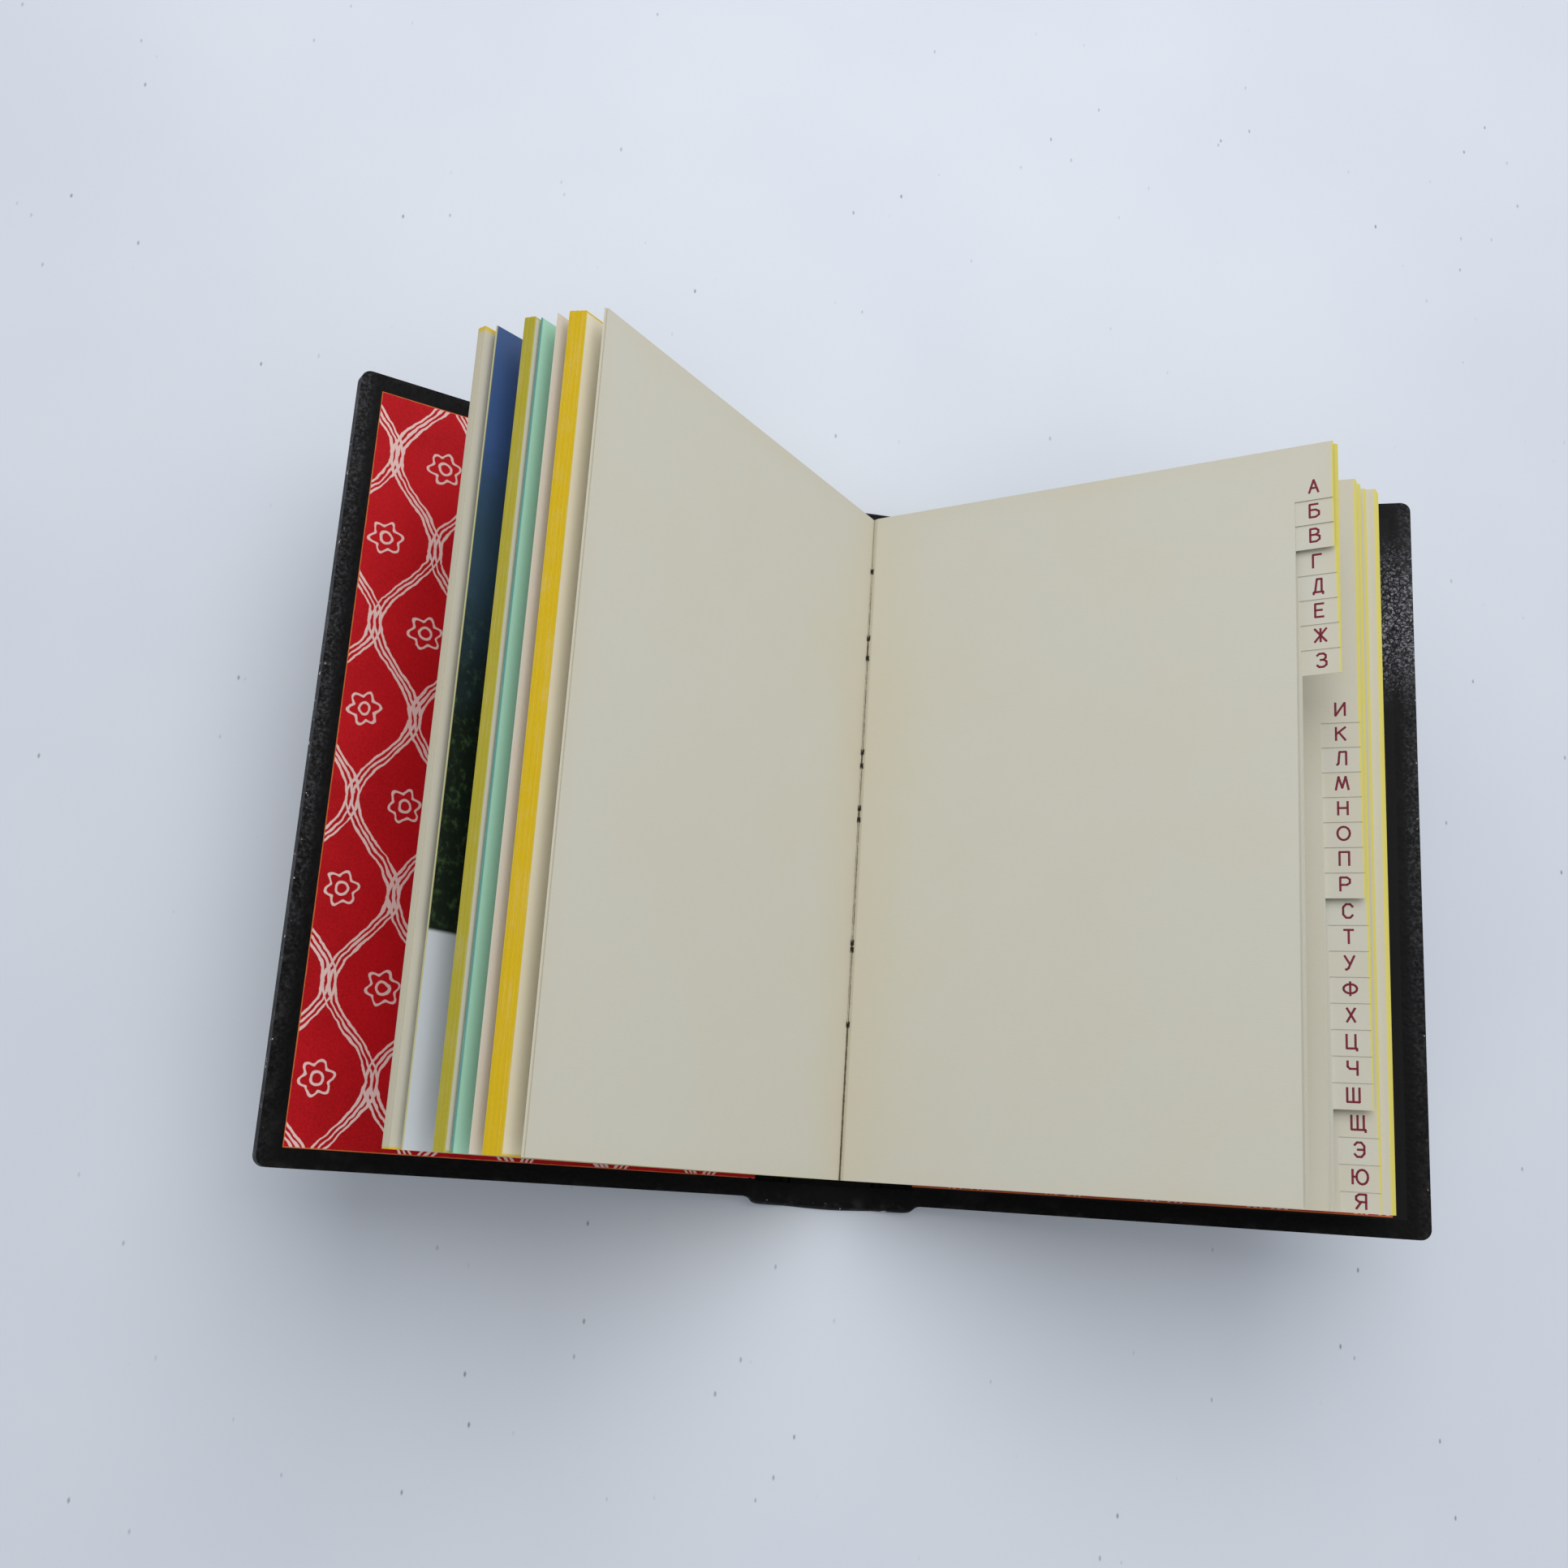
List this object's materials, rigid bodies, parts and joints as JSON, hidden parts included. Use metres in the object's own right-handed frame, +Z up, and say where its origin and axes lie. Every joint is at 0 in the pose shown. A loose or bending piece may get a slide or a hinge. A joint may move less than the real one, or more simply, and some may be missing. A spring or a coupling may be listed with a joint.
{
  "type": "address book",
  "caption": "Pocket address book with a black leatherette case, red patterned endpapers and a step-cut thumb index, standing open on its spine with its leaves fanned.",
  "frame": {"origin": "middle of the spine's underside, on the table", "axes": "+Z up, +Y along the spine towards the head, +X across the book towards the back cover"},
  "size_m": [0.2118, 0.1486, 0.0826],
  "materials": {
    "black_leatherette": "fine pebble grain with a worn sheen at edges and corners",
    "grey_board": "dense grey board, hidden by its covering",
    "red_endpaper": "smooth printed paper with a pale line pattern",
    "cream_paper": "aged matt paper with yellow-dyed head and fore edges",
    "mint_paper": "matt pale green paper",
    "printed_plate": "coated paper printed with a blue to dark green blend and a white margin",
    "spine_cloth": "open-weave lining cloth",
    "white_thread": "twisted sewing thread"
  },
  "bodies": {
    "spine": {"spine_card": "grey_board", "spine_skin": "black_leatherette", "spine_lining": "spine_cloth", "section_folds": "cream_paper", "sewing_thread": "white_thread"},
    "front_cover": {"front_board": "grey_board", "front_cover_skin": "black_leatherette", "front_pastedown": "red_endpaper"},
    "back_cover": {"back_board": "grey_board", "back_cover_skin": "black_leatherette", "back_pastedown": "red_endpaper"},
    "title_leaves": {"front_flyleaf": "cream_paper", "title_section": "cream_paper"},
    "plate_leaf": {"colour_plate": "printed_plate"},
    "notes_leaves": {"notes_section": "cream_paper"},
    "divider_leaf": {"green_divider": "mint_paper"},
    "plain_leaf": {"blank_leaf": "cream_paper"},
    "diary_leaves": {"diary_section": "cream_paper"},
    "left_leaf": {"facing_leaf": "cream_paper"},
    "turning_leaf": {"open_leaf": "cream_paper"},
    "first_letter": {"index_leaf_01": "cream_paper"},
    "second_letter": {"index_leaf_02": "cream_paper"},
    "third_letter": {"index_leaf_03": "cream_paper"},
    "first_index": {"index_leaf_04": "cream_paper", "index_leaf_05": "cream_paper", "index_leaf_06": "cream_paper", "index_leaf_07": "cream_paper", "index_leaf_08": "cream_paper"},
    "second_index": {"index_leaf_09": "cream_paper", "index_leaf_10": "cream_paper", "index_leaf_11": "cream_paper", "index_leaf_12": "cream_paper", "index_leaf_13": "cream_paper", "index_leaf_14": "cream_paper", "index_leaf_15": "cream_paper", "index_leaf_16": "cream_paper"},
    "third_index": {"index_leaf_17": "cream_paper", "index_leaf_18": "cream_paper", "index_leaf_19": "cream_paper", "index_leaf_20": "cream_paper", "index_leaf_21": "cream_paper", "index_leaf_22": "cream_paper", "index_leaf_23": "cream_paper", "index_leaf_24": "cream_paper"},
    "last_index": {"index_leaf_25": "cream_paper", "index_leaf_26": "cream_paper", "index_leaf_27": "cream_paper", "index_leaf_28": "cream_paper", "back_section": "cream_paper", "back_flyleaf": "cream_paper"}
  },
  "joints": [
    {"name": "front_cover_swing", "type": "hinge", "parent": "spine", "child": "front_cover", "pos_m": [-0.00946, 0, 0.00115], "axis": [0, -1, 0], "range_deg": [-67, 23]},
    {"name": "back_cover_swing", "type": "hinge", "parent": "spine", "child": "back_cover", "pos_m": [0.00946, 0, 0.00115], "axis": [0, 1, 0], "range_deg": [-67, 23]},
    {"name": "title_leaves_fan", "type": "hinge", "parent": "spine", "child": "title_leaves", "pos_m": [-0.00707, 0, 0.0043], "axis": [0, -1, 0], "range_deg": [-48.61, 16.69]},
    {"name": "plate_leaf_fan", "type": "hinge", "parent": "spine", "child": "plate_leaf", "pos_m": [-0.0059, 0, 0.00504], "axis": [0, -1, 0], "range_deg": [-47.81, 16.42]},
    {"name": "notes_leaves_fan", "type": "hinge", "parent": "spine", "child": "notes_leaves", "pos_m": [-0.0047, 0, 0.0058], "axis": [0, -1, 0], "range_deg": [-44.51, 15.29]},
    {"name": "divider_leaf_fan", "type": "hinge", "parent": "spine", "child": "divider_leaf", "pos_m": [-0.0035, 0, 0.00649], "axis": [0, -1, 0], "range_deg": [-44.31, 15.22]},
    {"name": "plain_leaf_fan", "type": "hinge", "parent": "spine", "child": "plain_leaf", "pos_m": [-0.00325, 0, 0.00663], "axis": [0, -1, 0], "range_deg": [-42.41, 14.56]},
    {"name": "diary_leaves_fan", "type": "hinge", "parent": "spine", "child": "diary_leaves", "pos_m": [-0.00168, 0, 0.00749], "axis": [0, -1, 0], "range_deg": [-41.31, 14.19]},
    {"name": "left_leaf_fan", "type": "hinge", "parent": "spine", "child": "left_leaf", "pos_m": [-0.00011, 0, 0.00831], "axis": [0, -1, 0], "range_deg": [-39.41, 13.54]},
    {"name": "third_letter_fan", "type": "hinge", "parent": "spine", "child": "third_letter", "pos_m": [0.00118, 0, 0.00865], "axis": [0, 1, 0], "range_deg": [-50.21, 17.24]},
    {"name": "first_index_fan", "type": "hinge", "parent": "spine", "child": "first_index", "pos_m": [0.00169, 0, 0.0083], "axis": [0, 1, 0], "range_deg": [-50.61, 17.38]},
    {"name": "second_index_fan", "type": "hinge", "parent": "spine", "child": "second_index", "pos_m": [0.00272, 0, 0.00743], "axis": [0, 1, 0], "range_deg": [-60.01, 20.61]},
    {"name": "third_index_fan", "type": "hinge", "parent": "spine", "child": "third_index", "pos_m": [0.00398, 0, 0.00634], "axis": [0, 1, 0], "range_deg": [-60.51, 20.78]},
    {"name": "last_index_fan", "type": "hinge", "parent": "spine", "child": "last_index", "pos_m": [0.00634, 0, 0.0043], "axis": [0, 1, 0], "range_deg": [-61.01, 20.95]},
    {"name": "leaf_turn", "type": "hinge", "parent": "left_leaf", "child": "turning_leaf", "pos_m": [0, 0, 0.00856], "axis": [0, 1, 0], "range_deg": [0, 75]},
    {"name": "second_letter_lift", "type": "hinge", "parent": "third_letter", "child": "second_letter", "pos_m": [0.00115, 0, 0.0089], "axis": [0, -1, 0], "range_deg": [0, 18]},
    {"name": "first_letter_lift", "type": "hinge", "parent": "second_letter", "child": "first_letter", "pos_m": [0.00113, 0, 0.00915], "axis": [0, -1, 0], "range_deg": [0, 20]}
  ],
  "couplings": [
    {"joint": "title_leaves_fan", "follows": "front_cover_swing", "ratio": 0.72537},
    {"joint": "plate_leaf_fan", "follows": "front_cover_swing", "ratio": 0.71343},
    {"joint": "notes_leaves_fan", "follows": "front_cover_swing", "ratio": 0.66418},
    {"joint": "divider_leaf_fan", "follows": "front_cover_swing", "ratio": 0.66119},
    {"joint": "plain_leaf_fan", "follows": "front_cover_swing", "ratio": 0.63284},
    {"joint": "diary_leaves_fan", "follows": "front_cover_swing", "ratio": 0.61642},
    {"joint": "left_leaf_fan", "follows": "front_cover_swing", "ratio": 0.58806},
    {"joint": "third_letter_fan", "follows": "back_cover_swing", "ratio": 0.74925},
    {"joint": "first_index_fan", "follows": "back_cover_swing", "ratio": 0.75522},
    {"joint": "second_index_fan", "follows": "back_cover_swing", "ratio": 0.89552},
    {"joint": "third_index_fan", "follows": "back_cover_swing", "ratio": 0.90299},
    {"joint": "last_index_fan", "follows": "back_cover_swing", "ratio": 0.91045}
  ]
}
